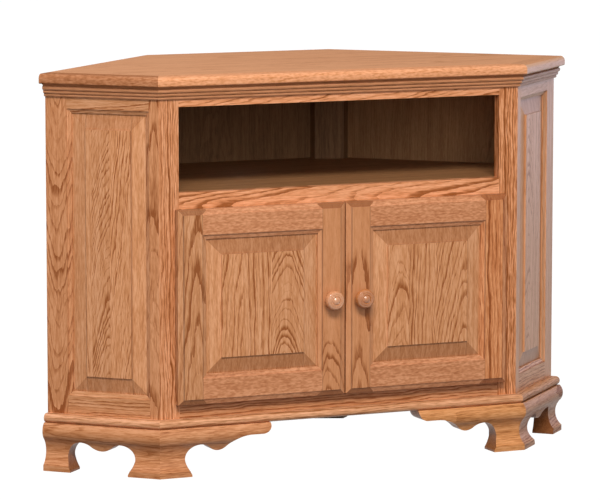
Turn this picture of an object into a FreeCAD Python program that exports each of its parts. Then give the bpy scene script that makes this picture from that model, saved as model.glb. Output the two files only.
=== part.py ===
import FreeCAD, Part
import math
import os
import Sketcher

# A corner television cabinet in oak. It stands across the corner of a room: a wide front with an open
# bay over a pair of doors, a canted framed side at each end, and two rear sides that run back along
# the walls to a short rear panel. A moulded top, a reeded crown and ogee bracket feet dress it.
# Lengths are in millimetres. The front faces -Y, +Z is up, and the origin is on the floor under the
# middle of the whole cabinet.

SIZES = {
    # The whole cabinet.
    "total_height": 762.0,
    "front_width": 755.0,
    "cant_length": 234.0,
    "back_width": 400.0,
    # The top: a flat field with a mitred solid edging on the front and the two cants.
    "top_thickness": 19.0,
    "top_overhang": 22.0,
    "top_rear_overhang": 3.0,
    "top_edging_width": 42.0,
    "top_edge_round": 9.5,
    "top_edge_ease": 3.5,
    # The crown moulding under the top.
    "crown_height": 25.0,
    "crown_projection": 17.0,
    # The face frame round the bay and the doors.
    "frame_thickness": 20.0,
    "face_stile_width": 40.5,
    "top_rail_show": 14.5,
    "bay_height": 162.5,
    "middle_rail_width": 40.5,
    "bottom_rail_width": 37.5,
    # The framed and panelled cants.
    "side_rear_stile_width": 52.0,
    "side_front_stile_width": 28.0,
    "side_top_rail_show": 30.0,
    "side_bottom_rail_width": 44.0,
    # The joinery that doors and cants share.
    "sticking_width": 8.0,
    "sticking_depth": 5.0,
    "sticking_quirk": 1.8,
    "groove_setback": 8.0,
    "groove_width": 6.0,
    "groove_depth": 10.0,
    "tongue_play": 0.2,
    "panel_play": 1.0,
    "panel_sight_gap": 0.5,
    "panel_bevel": 30.0,
    "panel_bevel_rise": 4.5,
    "panel_setback": 0.7,
    # The doors.
    "door_overlay": 9.5,
    "door_gap": 2.0,
    "door_meeting_gap": 3.0,
    "door_thickness": 21.0,
    "door_frame_width": 57.0,
    "door_bevel_width": 10.0,
    "door_bevel_depth": 6.0,
    "door_bevel_quirk": 1.5,
    "door_back_chamfer": 3.0,
    # The turned knobs, each with a tenon glued into its stile.
    "knob_diameter": 38.0,
    "knob_projection": 28.0,
    "knob_inset": 30.0,
    "knob_tenon_diameter": 9.5,
    "knob_tenon_length": 13.0,
    "knob_tenon_play": 0.1,
    # The concealed cup hinges.
    "hinge_inset": 75.0,
    "pivot_inset": 9.0,
    "pivot_depth": 12.0,
    "pin_diameter": 2.4,
    "pin_length": 21.0,
    "pin_play": 0.05,
    "eye_wall": 0.95,
    "cup_diameter": 35.0,
    "cup_inset": 4.0,
    "cup_depth": 15.5,
    "cup_wall": 1.0,
    "cup_play": 0.1,
    "ear_height": 54.0,
    "ear_width": 14.0,
    "arm_thickness": 2.0,
    "arm_height": 12.0,
    "arm_reach": 17.0,
    "arm_setback": 4.0,
    "hinge_plate_depth": 15.0,
    "hinge_plate_height": 40.0,
    # The bumpers that the doors close against.
    "bumper_diameter": 7.0,
    "bumper_play": 0.2,
    "bumper_inset": 30.0,
    # The carcass behind the frames.
    "rear_thickness": 12.0,
    "board_thickness": 18.0,
    "post_width": 42.0,
    "post_depth": 24.0,
    "cleat_size": 20.0,
    "cable_hole_diameter": 54.0,
    "bay_cable_drop": 16.0,
    # The shelf behind the doors, on pegs.
    "shelf_height": 172.0,
    "shelf_setback": 40.0,
    "shelf_play": 3.0,
    "peg_diameter": 5.0,
    "peg_seat": 8.0,
    "peg_reach": 14.0,
    "peg_play": 0.1,
    "peg_inset": 70.0,
    # The base: a nosed cap on ogee bracket feet.
    "cap_height": 17.0,
    "cap_projection": 18.5,
    "cap_seat": 45.0,
    "foot_height": 93.0,
    "bracket_back": 21.0,
    "ogee_flare": 23.0,
    "ogee_waist": 9.5,
    "ogee_waist_height": 38.0,
    "ogee_bulge": 25.5,
    "ogee_bulge_height": 77.0,
    "ogee_hollow_radius": 34.0,
    "foot_width": 57.0,
    "foot_toe": 4.0,
    "waist_width": 47.0,
    "waist_height": 30.0,
    "instep_radius": 70.0,
    "front_drop_place": 114.0,
    "front_drop_height": 45.5,
    "side_drop_height": 43.0,
    "tail_height": 73.0,
    "tail_radius": 70.0,
    "tail_tip_radius": 18.0,
    "tail_tip_flat": 2.0,
    "bracket_length": 221.0,
    "foot_block_width": 30.0,
    "foot_block_depth": 18.0,
    "foot_block_lift": 6.0,
    # How far every cutter runs past the wood.
    "overrun": 5.0,
}

# Fixed angles, in degrees. The rear sides lie along two walls that meet square, so the cants turn by half
# a right angle from the front, and every mitre halves that turn.
CANT_TURN = 45.0
SLANT_SHARE = math.cos(math.radians(CANT_TURN))
MITRE_SHARE = math.tan(math.radians(CANT_TURN / 2))

# The crown's reeds from the bottom up, as shares of its height (foot, head) and projection (foot, head).
CROWN_REED_SHARES = ((0.0, 0.24, 0.20, 0.27), (0.24, 0.51, 0.40, 0.48), (0.51, 0.81, 0.62, 0.70))
CROWN_COVE_START_SHARE = 0.60
REED_RADIUS_SHARE = 0.62
COVE_RADIUS_SHARE = 0.34

# The knob's turned outline from the door outwards, as shares of its projection and of its diameter.
KNOB_FOOT_SHARE = 0.33
KNOB_NECK_SHARES = (0.10, 0.25)
KNOB_FLARE_SHARE = 0.38
KNOB_RIM_SHARE = 0.56
KNOB_BROW_SHARE = 0.86
KNOB_RIM_RADIUS_SHARE = 0.30
KNOB_FLARE_RADIUS_SHARE = 0.34
KNOB_RING_SHARES = ((0.885, 0.335), (0.870, 0.322), (0.893, 0.310))
KNOB_GROOVE_SHARES = ((0.912, 0.24), (0.865, 0.215), (0.90, 0.19))

# The radius of a bracket's arch as a share of the way from the foot's waist to the drop.
SIDE_ARCH_SHARE = 0.41
FRONT_ARCH_SHARE = 0.45


class Size:
    """A length that keeps its sheet formula, so that one sum both places a point and binds it."""

    def __init__(self, value, formula):
        self.value = value
        self.formula = formula

    def __add__(self, other):
        return Size(self.value + other.value, "(%s + %s)" % (self.formula, other.formula))

    def __sub__(self, other):
        return Size(self.value - other.value, "(%s - %s)" % (self.formula, other.formula))

    def __neg__(self):
        return Size(-self.value, "(0 - %s)" % self.formula)

    def __mul__(self, other):
        factor = as_size(other)
        return Size(self.value * factor.value, "(%s * %s)" % (self.formula, factor.formula))

    def __truediv__(self, other):
        divisor = as_size(other)
        return Size(self.value / divisor.value, "(%s / %s)" % (self.formula, divisor.formula))


def as_size(number):
    """A share or a count, made fit to stand in a sum of sizes."""
    if isinstance(number, Size):
        return number
    return Size(number, repr(number))


def root(area):
    """The square root of an area, which is a length again."""
    return Size(math.sqrt(area.value), "sqrt(%s)" % area.formula)


ZERO = as_size(0)

doc = FreeCAD.newDocument("CornerCabinet")
sheet = doc.addObject("Spreadsheet::Sheet", "Sizes")


class Sheet:
    """The driving sizes by name, each bound to its cell of the sheet."""


size = Sheet()
for row, (alias, number) in enumerate(SIZES.items(), 1):
    sheet.set("A%d" % row, alias)
    sheet.set("B%d" % row, str(number))
    sheet.setAlias("B%d" % row, alias)
    setattr(size, alias, Size(number, "Sizes." + alias))
doc.recompute()

nodes = []


# Helpers that draw, place and copy

def new_body(label):
    """An empty body that becomes one named piece."""
    body = doc.addObject("PartDesign::Body", label)
    body.Label = label
    nodes.append(body)
    return body


def arc_middle(start, end, radius):
    """The middle of the short arc between two points; a positive radius turns left, a negative right."""
    chord = end - start
    rise = abs(radius) - math.sqrt(max(radius * radius - chord.Length * chord.Length / 4, 0))
    outward = FreeCAD.Vector(chord.y, -chord.x, 0).normalize() * math.copysign(rise, radius)
    return (start + end) / 2 + outward


def outline(body, plane, corners, offset=ZERO):
    """A closed sketch on a plane of the body. A corner is (across, up) or, where an arc leaves it,
    (across, up, radius); every corner and radius is bound to the sheet."""
    planes = {feature.Role: feature for feature in body.Origin.OriginFeatures}
    sketch = body.newObject("Sketcher::SketchObject", body.Label + "_outline")
    sketch.AttachmentSupport = [(planes[plane + "_Plane"], "")]
    sketch.MapMode = "FlatFace"
    sketch.AttachmentOffset = FreeCAD.Placement(FreeCAD.Vector(0, 0, offset.value), FreeCAD.Rotation())
    sketch.setExpression("AttachmentOffset.Base.z", offset.formula)
    points = [FreeCAD.Vector(corner[0].value, corner[1].value, 0) for corner in corners]
    edges = []
    ends = []
    for index, corner in enumerate(corners):
        start = points[index]
        end = points[(index + 1) % len(points)]
        if len(corner) == 2:
            edges.append(Part.LineSegment(start, end))
            ends.append((1, 2))
        elif corner[2].value > 0:
            edges.append(Part.Arc(start, arc_middle(start, end, corner[2].value), end))
            ends.append((1, 2))
        else:
            edges.append(Part.Arc(end, arc_middle(start, end, corner[2].value), start))
            ends.append((2, 1))
    sketch.addGeometry(edges, False)
    rules = []
    formulas = []
    for index, corner in enumerate(corners):
        following = (index + 1) % len(corners)
        rules.append(Sketcher.Constraint("Coincident", index, ends[index][1], following, ends[following][0]))
        formulas.append(None)
        rules.append(Sketcher.Constraint("DistanceX", -1, 1, index, ends[index][0], corner[0].value))
        formulas.append(corner[0].formula)
        rules.append(Sketcher.Constraint("DistanceY", -1, 1, index, ends[index][0], corner[1].value))
        formulas.append(corner[1].formula)
        if len(corner) == 3:
            radius = corner[2] if corner[2].value > 0 else -corner[2]
            rules.append(Sketcher.Constraint("Radius", index, radius.value))
            formulas.append(radius.formula)
    sketch.addConstraint(rules)
    for index, formula in enumerate(formulas):
        if formula is not None:
            sketch.setExpression("Constraints[%d]" % index, formula)
    return sketch


def circles(body, plane, centres, radius, offset=ZERO):
    """A sketch of equal circles on a plane of the body, bound to the sheet."""
    sketch = outline(body, plane, [], offset)
    for index, (across, up) in enumerate(centres):
        centre = FreeCAD.Vector(across.value, up.value, 0)
        sketch.addGeometry(Part.Circle(centre, FreeCAD.Vector(0, 0, 1), radius.value), False)
        for rule, length in (("DistanceX", across), ("DistanceY", up)):
            bound = sketch.addConstraint(Sketcher.Constraint(rule, -1, 1, index, 3, length.value))
            sketch.setExpression("Constraints[%d]" % bound, length.formula)
        bound = sketch.addConstraint(Sketcher.Constraint("Radius", index, radius.value))
        sketch.setExpression("Constraints[%d]" % bound, radius.formula)
    return sketch


def pad(body, sketch, length):
    """Wood or metal grown from a sketch along its plane's own direction: +X, -Y or +Z."""
    feature = body.newObject("PartDesign::Pad", body.Label + "_pad")
    feature.Profile = sketch
    feature.setExpression("Length", length.formula)
    return feature


def cut_through(body, sketch):
    """A cut right through the piece, both ways from its sketch."""
    feature = body.newObject("PartDesign::Pocket", body.Label + "_cut")
    feature.Profile = sketch
    feature.Type = "ThroughAll"
    feature.Midplane = True
    return feature


def sink(body, sketch, depth, backwards=False):
    """A blind cut from a sketch, against its plane's direction or, if backwards, along it."""
    feature = body.newObject("PartDesign::Pocket", body.Label + "_recess")
    feature.Profile = sketch
    feature.setExpression("Length", depth.formula)
    feature.Reversed = backwards
    return feature


def place(thing, across, back, up, turn=0.0):
    """Set a piece down in the cabinet, turned about the vertical."""
    spot = FreeCAD.Vector(across.value, back.value, up.value)
    thing.Placement = FreeCAD.Placement(spot, FreeCAD.Rotation(FreeCAD.Vector(0, 0, 1), turn))
    for axis, length in zip("xyz", (across, back, up)):
        thing.setExpression("Placement.Base." + axis, length.formula)
    return thing


def mirrored(source, label, height=None):
    """A mirror image: of a left-hand piece for the right, or of an upper one about a height."""
    image = doc.addObject("Part::Mirroring", label)
    image.Label = label
    image.Source = source
    image.Normal = FreeCAD.Vector(1, 0, 0)
    if height is not None:
        image.Normal = FreeCAD.Vector(0, 0, 1)
        image.setExpression("Base.z", height.formula)
    return image


def right_hand(source):
    """The right-hand twin of a left-hand piece."""
    image = mirrored(source, source.Label.replace("left", "right"))
    nodes.append(image)
    return image


def group(label, members):
    """Separate solids that share one named piece."""
    together = doc.addObject("Part::Compound", label)
    together.Label = label
    together.Links = members
    for member in members:
        if member in nodes:
            nodes.remove(member)
    nodes.append(together)
    return together


def rectangle(low_across, low_up, high_across, high_up):
    """The four corners of an upright rectangle."""
    return [(low_across, low_up), (high_across, low_up), (high_across, high_up), (low_across, high_up)]


# Places that follow from the driving sizes

half_front = size.front_width / 2
half_back = size.back_width / 2
half_reach = half_front + size.cant_length * SLANT_SHARE
rear_length = (half_reach - half_back) / SLANT_SHARE
body_depth = size.cant_length * SLANT_SHARE + rear_length * SLANT_SHARE
front_reach = size.door_gap + size.door_thickness + size.knob_projection
front_y = (front_reach - size.top_rear_overhang - body_depth) / 2
back_y = front_y + body_depth

base_top = size.foot_height + size.cap_height
top_underside = size.total_height - size.top_thickness
crown_foot = top_underside - size.crown_height
bay_top = crown_foot - size.top_rail_show
bay_floor = bay_top - size.bay_height
doorway_top = bay_floor - size.middle_rail_width
doorway_bottom = base_top + size.bottom_rail_width
half_opening = half_front - size.face_stile_width

door_left = -(half_opening + size.door_overlay)
door_width = half_opening + size.door_overlay - size.door_meeting_gap / 2
door_bottom = doorway_bottom - size.door_overlay
door_height = doorway_top - doorway_bottom + size.door_overlay * 2
door_middle = door_bottom + door_height / 2
door_front_y = front_y - size.door_gap - size.door_thickness


def cant_point(along, inward):
    """A plan point measured in the left cant: along it from the front corner, and inward of its face."""
    return (-half_front + (along + inward) * SLANT_SHARE, front_y + (inward - along) * SLANT_SHARE)


def mirror_plan(points):
    """A left half plan closed by its own mirror image."""
    return points + [(-across, back) for across, back in reversed(points)]


def on_front(piece):
    """Seat a piece that was drawn in the front's own frame: X along it and Y inward of its face."""
    return place(piece, ZERO, front_y, ZERO)


def on_left_cant(piece):
    """Seat a piece that was drawn in the left cant's own frame, which starts at the front corner."""
    return place(piece, -half_front, front_y, ZERO, -CANT_TURN)


def mitre(body, corner, side, outside, inside):
    """Cut an end on the mitre through the corner. The side is 1 where the wood lies to its right."""
    far = corner - (outside * MITRE_SHARE + size.overrun) * side
    out = outside + size.overrun
    back = inside + size.overrun
    waste = [(corner - out * (side * MITRE_SHARE), -out), (corner + back * (side * MITRE_SHARE), back),
             (far, back), (far, -out)]
    return cut_through(body, outline(body, "XY", waste))


def moulding(label, profile, outside, inside, rear_overhang=ZERO):
    """A moulding in three mitred lengths: the front, the left cant and its right-hand twin."""
    lap = outside * MITRE_SHARE
    front = new_body(label + "_front")
    pad(front, outline(front, "YZ", profile, -(half_front + lap)), (half_front + lap) * 2)
    mitre(front, -half_front, 1, outside, inside)
    mitre(front, half_front, -1, outside, inside)
    on_front(front)
    left = new_body(label + "_left")
    start = -(size.cant_length + rear_overhang)
    pad(left, outline(left, "YZ", profile, start), lap - start)
    mitre(left, ZERO, -1, outside, inside)
    right_hand(on_left_cant(left))


# The top

edge = size.top_edging_width - size.top_overhang
top_edge_profile = [
    (edge, top_underside),
    (size.top_edge_ease - size.top_overhang, top_underside, -size.top_edge_ease),
    (-size.top_overhang, top_underside + size.top_edge_ease),
    (-size.top_overhang, size.total_height - size.top_edge_round, -size.top_edge_round),
    (size.top_edge_round - size.top_overhang, size.total_height),
    (edge, size.total_height)]
moulding("top_edge", top_edge_profile, size.top_overhang, edge, size.top_rear_overhang)

top_panel = new_body("top_panel")
top_plan = mirror_plan([
    (-(half_back + size.top_rear_overhang * MITRE_SHARE), back_y + size.top_rear_overhang),
    cant_point(-(size.cant_length + size.top_rear_overhang), edge),
    cant_point(-(edge * MITRE_SHARE), edge)])
pad(top_panel, outline(top_panel, "XY", top_plan, top_underside), size.top_thickness)

# The crown: three reeds that step outwards and a cove under the top

crown_profile = [(ZERO, top_underside), (ZERO, crown_foot)]
for foot, head, start_share, end_share in CROWN_REED_SHARES:
    reed_radius = size.crown_height * ((head - foot) * REED_RADIUS_SHARE)
    reed_foot = crown_foot + size.crown_height * foot
    crown_profile.append((-(size.crown_projection * start_share), reed_foot, -reed_radius))
    crown_profile.append((-(size.crown_projection * end_share), crown_foot + size.crown_height * head))
cove_start = -(size.crown_projection * CROWN_COVE_START_SHARE)
cove_foot = crown_foot + size.crown_height * CROWN_REED_SHARES[-1][1]
crown_profile.append((cove_start, cove_foot, size.crown_height * COVE_RADIUS_SHARE))
crown_profile.append((-size.crown_projection, top_underside))
moulding("crown", crown_profile, size.crown_projection, ZERO)

# The face frame

left_face_stile = new_body("left_face_stile")
face_stile_plan = [
    (-half_front, ZERO), (-half_opening, ZERO), (-half_opening, size.frame_thickness),
    (size.frame_thickness * MITRE_SHARE - half_front, size.frame_thickness)]
pad(left_face_stile, outline(left_face_stile, "XY", face_stile_plan, base_top), top_underside - base_top)
right_hand(on_front(left_face_stile))

face_rails = (
    ("top_face_rail", bay_top, top_underside),
    ("middle_face_rail", doorway_top, bay_floor),
    ("bottom_face_rail", base_top, doorway_bottom))
for label, low, high in face_rails:
    rail = new_body(label)
    rail_plan = rectangle(-half_opening, ZERO, half_opening, size.frame_thickness)
    pad(rail, outline(rail, "XY", rail_plan, low), high - low)
    on_front(rail)


# Frame-and-panel joinery, drawn with X across, Y from the show face inwards and Z up

groove_back = size.groove_setback + size.groove_width


def moulded_edge(at, side, thickness):
    """The corners of a frame member's inner edge, front to back: quirk, moulding, panel groove and back."""
    bed = at - size.groove_depth * side
    shoulder = at - size.sticking_width * side
    return [(shoulder, ZERO), (shoulder, size.sticking_quirk), (at, size.sticking_depth),
            (at, size.groove_setback), (bed, size.groove_setback), (bed, groove_back),
            (at, groove_back), (at, thickness)]


def coped_end(at, side):
    """The corners of a rail's end, front to back: it laps the stile's moulding and fills its groove."""
    tip = at + size.groove_depth * side
    shoulder = at + size.sticking_width * side
    return [(shoulder, ZERO), (shoulder, size.sticking_quirk), (at, size.sticking_depth),
            (at, size.groove_setback), (tip, size.groove_setback), (tip, groove_back), (at, groove_back)]


def framed_rail(label, left, right, low, high, inner_side, thickness):
    """A rail between two stiles; its moulded edge is the upper one where inner_side is 1."""
    rail = new_body(label)
    plan = coped_end(right, 1) + [(right, thickness), (left, thickness)] + coped_end(left, -1)[::-1]
    pad(rail, outline(rail, "XY", plan, low), high - low)
    inner = high if inner_side > 0 else low
    past = inner + size.overrun * inner_side
    shoulder = inner - size.sticking_width * inner_side
    bed = inner - size.groove_depth * inner_side
    waste = [(-size.overrun, shoulder), (size.sticking_quirk, shoulder), (size.sticking_depth, inner),
             (size.groove_setback, inner), (size.groove_setback, bed), (groove_back, bed),
             (groove_back, past), (-size.overrun, past)]
    cut_through(rail, outline(rail, "YZ", waste))
    return rail


def raised_panel(label, left, right, low, high):
    """A panel whose tongue floats in the frame's groove, with a bevelled border and a raised field."""
    panel = new_body(label)
    tongue = size.groove_depth - size.panel_play
    tongue_front = size.groove_setback + size.tongue_play
    tongue_back = groove_back - size.tongue_play
    flat = rectangle(left - tongue, low - tongue, right + tongue, high + tongue)
    pad(panel, outline(panel, "XZ", flat, -tongue_back), tongue_back - tongue_front)
    gap = size.panel_sight_gap
    inset = gap + size.panel_bevel
    border = rectangle(left + gap, low + gap, right - gap, high - gap)
    field = rectangle(left + inset, low + inset, right - inset, high - inset)
    bevel = panel.newObject("PartDesign::AdditiveLoft", label + "_bevel")
    bevel.Profile = outline(panel, "XZ", border, -tongue_front)
    bevel.Sections = [outline(panel, "XZ", field, size.panel_bevel_rise - tongue_front)]
    bevel.Ruled = True
    pad(panel, outline(panel, "XZ", field, -tongue_front), tongue_front - size.panel_setback)
    return panel


def stile(label, plan, low, high):
    """An upright frame member padded from its plan."""
    body = new_body(label)
    pad(body, outline(body, "XY", plan, low), high - low)
    return body


# The canted sides, drawn in the left cant's frame

side_rear_edge = size.side_rear_stile_width - size.cant_length
side_front_edge = -size.side_front_stile_width
side_rail_top = crown_foot - size.side_top_rail_show
side_rail_bottom = base_top + size.side_bottom_rail_width

shelf_underside = doorway_bottom + size.shelf_height
peg_height = shelf_underside - size.peg_play - size.peg_diameter / 2
peg_radius = size.peg_diameter / 2
peg_hole_radius = peg_radius + size.peg_play
side_peg_place = size.side_rear_stile_width / 2 - size.cant_length

rear_stile_plan = [(-size.cant_length, size.frame_thickness), (-size.cant_length, ZERO)]
rear_stile_plan += moulded_edge(side_rear_edge, 1, size.frame_thickness)
left_side_rear_stile = stile("left_side_rear_stile", rear_stile_plan, base_top, top_underside)
peg_hole = circles(left_side_rear_stile, "XZ", [(side_peg_place, peg_height)],
                   peg_hole_radius, -size.frame_thickness)
sink(left_side_rear_stile, peg_hole, size.peg_seat + size.peg_play, True)

front_stile_plan = [(-(size.frame_thickness * MITRE_SHARE), size.frame_thickness), (ZERO, ZERO)]
front_stile_plan += moulded_edge(side_front_edge, -1, size.frame_thickness)
left_side_front_stile = stile("left_side_front_stile", front_stile_plan, base_top, top_underside)

left_side = [
    left_side_rear_stile,
    left_side_front_stile,
    framed_rail("left_side_top_rail", side_rear_edge, side_front_edge,
                side_rail_top, top_underside, -1, size.frame_thickness),
    framed_rail("left_side_bottom_rail", side_rear_edge, side_front_edge,
                base_top, side_rail_bottom, 1, size.frame_thickness),
    raised_panel("left_side_panel", side_rear_edge, side_front_edge, side_rail_bottom, side_rail_top)]
for piece in left_side:
    right_hand(on_left_cant(piece))

# The doors, drawn in the left door's frame, which starts at its lower outer corner

door_inner_left = size.door_frame_width
door_inner_right = door_width - size.door_frame_width
door_inner_top = door_height - size.door_frame_width


def on_left_door(piece):
    """Seat a piece that was drawn in the left door's own frame."""
    return place(piece, door_left, door_front_y, door_bottom)


def bevelled_edge(at, side):
    """The corners of a door's outer edge, back to front: chamfer, edge, front bevel and quirk."""
    return [(at + size.door_back_chamfer * side, size.door_thickness),
            (at, size.door_thickness - size.door_back_chamfer),
            (at, size.door_bevel_depth), (at + size.door_bevel_width * side, size.door_bevel_quirk),
            (at + size.door_bevel_width * side, ZERO)]


def bevel_end(body, at, side):
    """Run the door's front bevel along the upper end (side 1) or the lower end of a member."""
    past = at + size.overrun * side
    shoulder = at - size.door_bevel_width * side
    waste = [(-size.overrun, shoulder), (size.door_bevel_quirk, shoulder), (size.door_bevel_depth, at),
             (size.door_bevel_depth, past), (-size.overrun, past)]
    cut_through(body, outline(body, "YZ", waste))


hinge_stile_plan = bevelled_edge(ZERO, 1) + moulded_edge(door_inner_left, 1, size.door_thickness)
left_door_hinge_stile = stile("left_door_hinge_stile", hinge_stile_plan, ZERO, door_height)
meeting_stile_plan = bevelled_edge(door_width, -1) + moulded_edge(door_inner_right, -1, size.door_thickness)
left_door_meeting_stile = stile("left_door_meeting_stile", meeting_stile_plan, ZERO, door_height)
left_door_bottom_rail = framed_rail("left_door_bottom_rail", door_inner_left, door_inner_right,
                                    ZERO, size.door_frame_width, 1, size.door_thickness)
left_door_top_rail = framed_rail("left_door_top_rail", door_inner_left, door_inner_right,
                                 door_inner_top, door_height, -1, size.door_thickness)
for member in (left_door_hinge_stile, left_door_meeting_stile):
    bevel_end(member, door_height, 1)
    bevel_end(member, ZERO, -1)
bevel_end(left_door_top_rail, door_height, 1)
bevel_end(left_door_bottom_rail, ZERO, -1)

cup_centre = size.cup_inset + size.cup_diameter / 2
hinge_low = size.hinge_inset
hinge_high = door_height - size.hinge_inset
cup_radius = size.cup_diameter / 2
cup_bores = circles(left_door_hinge_stile, "XZ", [(cup_centre, hinge_low), (cup_centre, hinge_high)],
                    cup_radius + size.cup_play, -size.door_thickness)
sink(left_door_hinge_stile, cup_bores, size.cup_depth + size.cup_play, True)

knob_place = door_width - size.knob_inset
knob_bore = circles(left_door_meeting_stile, "XZ", [(knob_place, door_height / 2)],
                    size.knob_tenon_diameter / 2 + size.knob_tenon_play)
sink(left_door_meeting_stile, knob_bore, size.knob_tenon_length + size.knob_tenon_play)

left_door_panel = raised_panel("left_door_panel", door_inner_left, door_inner_right,
                               size.door_frame_width, door_inner_top)
left_door = [left_door_hinge_stile, left_door_meeting_stile, left_door_bottom_rail, left_door_top_rail,
             left_door_panel]
for piece in left_door:
    right_hand(on_left_door(piece))


# The knobs: turned between centres, with a waisted neck, a rounded rim, a ringed face and a button

def knob_point(shares):
    """A corner of the knob's outline: how far it stands out of the door and its radius there."""
    out_share, radius_share = shares
    return (-(size.knob_projection * out_share), size.knob_diameter * radius_share)


rim_round = size.knob_diameter * KNOB_RIM_RADIUS_SHARE


def beside_rim(out_share):
    """A corner on the rim's rounding, which is widest at the rim itself."""
    away = size.knob_projection * (out_share - KNOB_RIM_SHARE)
    radius = size.knob_diameter / 2 - rim_round + root(rim_round * rim_round - away * away)
    return (-(size.knob_projection * out_share), radius)


left_knob = new_body("left_knob")
button_out, button_radius = knob_point(KNOB_GROOVE_SHARES[-1])
button_rise = size.knob_projection + button_out
button_dome = (button_radius * button_radius + button_rise * button_rise) / (button_rise * 2)
knob_profile = [
    (-size.knob_projection, ZERO),
    (size.knob_tenon_length, ZERO),
    (size.knob_tenon_length, size.knob_tenon_diameter / 2),
    (ZERO, size.knob_tenon_diameter / 2),
    (ZERO, size.knob_diameter * KNOB_FOOT_SHARE),
    knob_point(KNOB_NECK_SHARES) + (-(size.knob_diameter * KNOB_FLARE_RADIUS_SHARE),),
    beside_rim(KNOB_FLARE_SHARE) + (rim_round,),
    (-(size.knob_projection * KNOB_RIM_SHARE), size.knob_diameter / 2, rim_round),
    beside_rim(KNOB_BROW_SHARE)]
knob_profile += [knob_point(shares) for shares in KNOB_RING_SHARES + KNOB_GROOVE_SHARES[:-1]]
knob_profile.append((button_out, button_radius, button_dome))
knob_sketch = outline(left_knob, "YZ", knob_profile)
knob_turning = left_knob.newObject("PartDesign::Revolution", "left_knob_turning")
knob_turning.Profile = knob_sketch
knob_turning.ReferenceAxis = (knob_sketch, ["H_Axis"])
place(left_knob, door_left + knob_place, door_front_y, door_middle)
right_hand(left_knob)

# The hinges: a cup let into the door, a pin across it, and an arm screwed to the face frame

pivot_y = size.door_thickness - size.pivot_depth
pin_radius = size.pin_diameter / 2
hinge_axis = [(size.pivot_inset, pivot_y)]

upper_cup = new_body("upper_left_cup")
cup_place = [(cup_centre, hinge_high)]
ear_back = -(size.door_thickness + size.cup_wall)
pad(upper_cup, circles(upper_cup, "XZ", cup_place, cup_radius, -size.door_thickness), size.cup_depth)
ears = rectangle(cup_centre - size.ear_width / 2, hinge_high - size.ear_height / 2,
                 cup_centre + size.ear_width / 2, hinge_high + size.ear_height / 2)
pad(upper_cup, outline(upper_cup, "XZ", ears, ear_back), size.cup_wall)
hollow = circles(upper_cup, "XZ", cup_place, cup_radius - size.cup_wall, ear_back)
sink(upper_cup, hollow, size.cup_depth, True)
cut_through(upper_cup, circles(upper_cup, "XY", hinge_axis, pin_radius + size.pin_play))

upper_pin = new_body("upper_left_pin")
pin_start = hinge_high - size.pin_length / 2
pad(upper_pin, circles(upper_pin, "XY", hinge_axis, pin_radius, pin_start), size.pin_length)

upper_arm = new_body("upper_left_arm")
arm_start = hinge_high - size.arm_height / 2
half_arm = size.arm_thickness / 2
leg_out = size.pivot_inset + size.arm_reach + half_arm
leg_in = leg_out - size.arm_thickness
frame_face = size.door_thickness + size.door_gap
foot_near = frame_face + size.arm_setback - half_arm
foot_far = foot_near + size.arm_thickness
plate_in = size.door_overlay + size.arm_thickness
plate_far = foot_near + size.hinge_plate_depth
arm_plan = [
    (size.pivot_inset, pivot_y - half_arm), (leg_out, pivot_y - half_arm), (leg_out, foot_far),
    (plate_in, foot_far), (plate_in, plate_far), (size.door_overlay, plate_far),
    (size.door_overlay, foot_near), (leg_in, foot_near), (leg_in, pivot_y + half_arm),
    (size.pivot_inset, pivot_y + half_arm)]
pad(upper_arm, outline(upper_arm, "XY", arm_plan, arm_start), size.arm_height)
pad(upper_arm, circles(upper_arm, "XY", hinge_axis, pin_radius + size.eye_wall, arm_start), size.arm_height)
plate = rectangle(size.door_overlay, foot_near, plate_in, plate_far)
plate_start = hinge_high - size.hinge_plate_height / 2
pad(upper_arm, outline(upper_arm, "XY", plate, plate_start), size.hinge_plate_height)
eye = circles(upper_arm, "XY", hinge_axis, pin_radius + size.pin_play)
cut_through(upper_arm, eye)

upper_hinge = {"left_hinge_cups": upper_cup, "left_hinge_pins": upper_pin, "left_hinge_arms": upper_arm}
for label, upper in upper_hinge.items():
    on_left_door(upper)
    lower = mirrored(upper, label + "_lower", door_middle)
    right_hand(group(label, [upper, lower]))

# Four bumpers on the face frame, where the doors' meeting corners land

upper_bumper = new_body("upper_left_bumper")
bumper_place = [(-(size.door_meeting_gap / 2 + size.bumper_inset), doorway_top + size.door_overlay / 2)]
bumper_height = size.door_gap - size.bumper_play
pad(upper_bumper, circles(upper_bumper, "XZ", bumper_place, size.bumper_diameter / 2), bumper_height)
on_front(upper_bumper)
lower_bumper = mirrored(upper_bumper, "lower_left_bumper", door_middle)
bumpers = [upper_bumper, lower_bumper]
bumpers += [mirrored(bumper, bumper.Label.replace("left", "right")) for bumper in bumpers]
group("door_bumpers", bumpers)

# The carcass behind the frames

left_rear_side = new_body("left_rear_side")
rear_inner = size.rear_thickness - size.cant_length
rear_side_plan = [
    (-size.cant_length, size.frame_thickness), (rear_inner, size.frame_thickness),
    (rear_inner, rear_length - size.rear_thickness * MITRE_SHARE), (-size.cant_length, rear_length)]
pad(left_rear_side, outline(left_rear_side, "XY", rear_side_plan, base_top), top_underside - base_top)
right_hand(on_left_cant(left_rear_side))

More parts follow.
